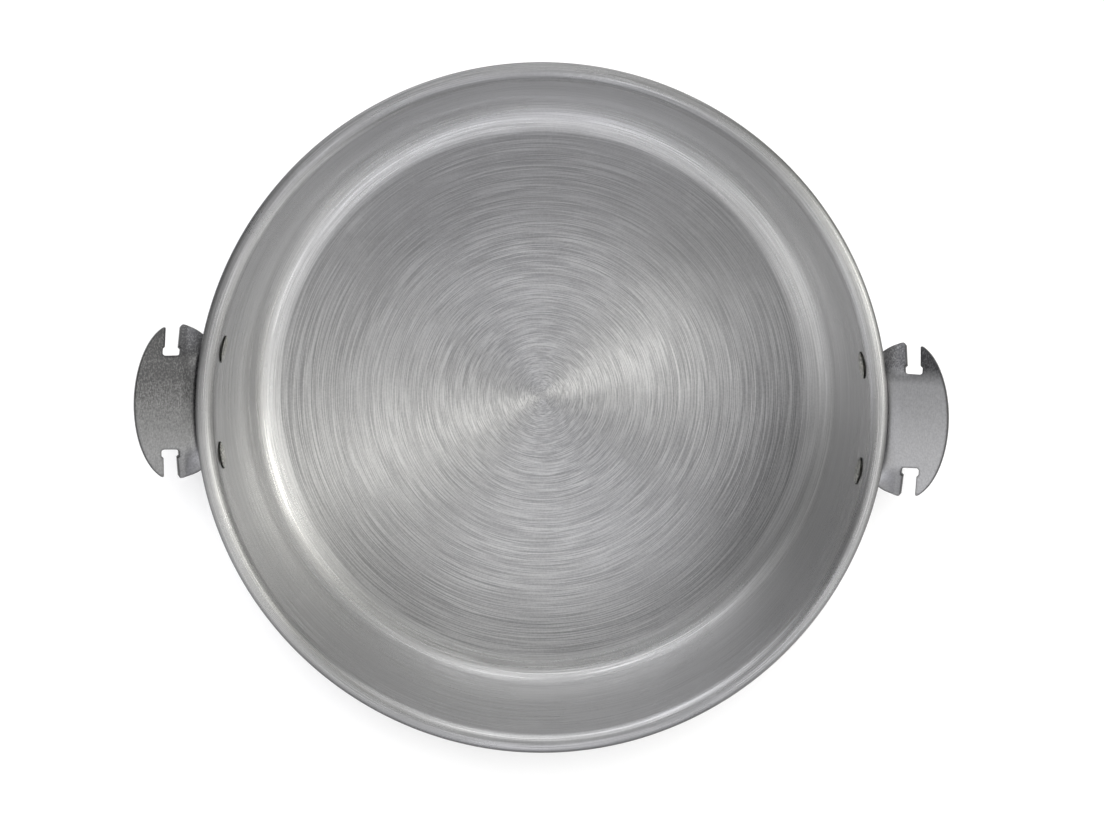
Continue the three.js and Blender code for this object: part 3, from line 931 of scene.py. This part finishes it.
def add_camera():
    right, up = view_axes()
    rim = Vector((0, 0, RIM_Z))
    place = rim + up * CAMERA_UP_SHIFT + right * CAMERA_RIGHT_SHIFT + Vector((0, 0, CAMERA_DISTANCE))
    aim = rim + right * AIM_RIGHT + up * AIM_UP
    back = (place - aim).normalized()
    side = up.cross(back).normalized()
    top = back.cross(side)
    data = bpy.data.cameras.new("camera")
    data.lens = CAMERA_LENS
    data.sensor_width = SENSOR_WIDTH
    camera = bpy.data.objects.new("camera", data)
    camera.matrix_world = Matrix.Translation(place * MM) @ Matrix((side, top, back)).transposed().to_4x4()
    bpy.context.scene.collection.objects.link(camera)
    bpy.context.scene.camera = camera


def studio_dome():
    """A soft studio seen as a dome: one tight key light near overhead and broad tinted pools round it."""
    nodes = Nodes(bpy.data.worlds.new("studio_dome"), "Background")
    heading = nodes.add("ShaderNodeTexCoord").outputs["Generated"]
    total = (0, 0, 0)
    for azimuth, zenith, radiance, focus, tint in DOME_POOLS:
        around = math.radians(azimuth)
        tilt = math.radians(zenith)
        flat = math.sin(tilt)
        towards = (math.cos(around) * flat, math.sin(around) * flat, math.cos(tilt))
        facing = nodes.add("ShaderNodeVectorMath", {0: heading, 1: towards}, operation="DOT_PRODUCT")
        peak = math.log(radiance) - focus
        falloff = nodes.math("MULTIPLY_ADD", facing.outputs["Value"], focus, peak)
        pool = nodes.math("EXPONENT", falloff)
        tinted = nodes.add("ShaderNodeVectorMath", {0: tint, "Scale": pool}, operation="SCALE")
        total = nodes.vector("ADD", total, tinted.outputs["Vector"])
    nodes.set("Color", total)
    nodes.set("Strength", 1.0)
    return nodes.owner


def add_table_lamp():
    """A high lamp behind the pot: it whitens the table and casts a soft shadow; metal doesn't mirror it."""
    data = bpy.data.lights.new("table_lamp", "SUN")
    data.energy = LAMP_STRENGTH
    data.angle = LAMP_SPREAD
    lamp = bpy.data.objects.new("table_lamp", data)
    lamp.rotation_euler = (-LAMP_LEAN, 0, CAMERA_ROLL)
    lamp.visible_glossy = False
    bpy.context.scene.collection.objects.link(lamp)


def add_studio():
    corners = [(x * FLOOR_REACH, y * FLOOR_REACH, 0) for x, y in ((-1, -1), (1, -1), (1, 1), (-1, 1))]
    floor = make_object("studio_floor_plane", corners, [(0, 1, 2, 3)])
    floor.data.materials.append(studio_floor())
    add_table_lamp()
    bpy.context.scene.world = studio_dome()
    bpy.context.scene.view_settings.view_transform = "Standard"


# ---------------------------------------------------------------- assembly

def finish_piece(piece, material, slot, *nodes):
    piece.data.materials.clear()
    piece.data.materials.append(material)
    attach(piece, "root")
    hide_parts(*nodes)


add_camera()
add_studio()

aluminium = brushed_aluminium()
rivet_metal = polished_rivet()

finish_piece(build_pot_body(), aluminium, "pot_aluminium", "pot_body")
for side, turn in (("right", 0.0), ("left", math.pi)):
    steel = satin_steel(side)
    finish_piece(build_handle(f"satin_handle_{side}", turn), steel, "handle_steel", f"handle_{side}")
    for place, way in (("front", -1), ("back", 1)):
        outward = 1 if side == "right" else -1
        rivet = build_rivet(f"domed_rivet_{side}_{place}", turn + outward * way * RIVET_ANGLE)
        finish_piece(rivet, rivet_metal, "rivet_metal", f"rivet_{side}_{place}")
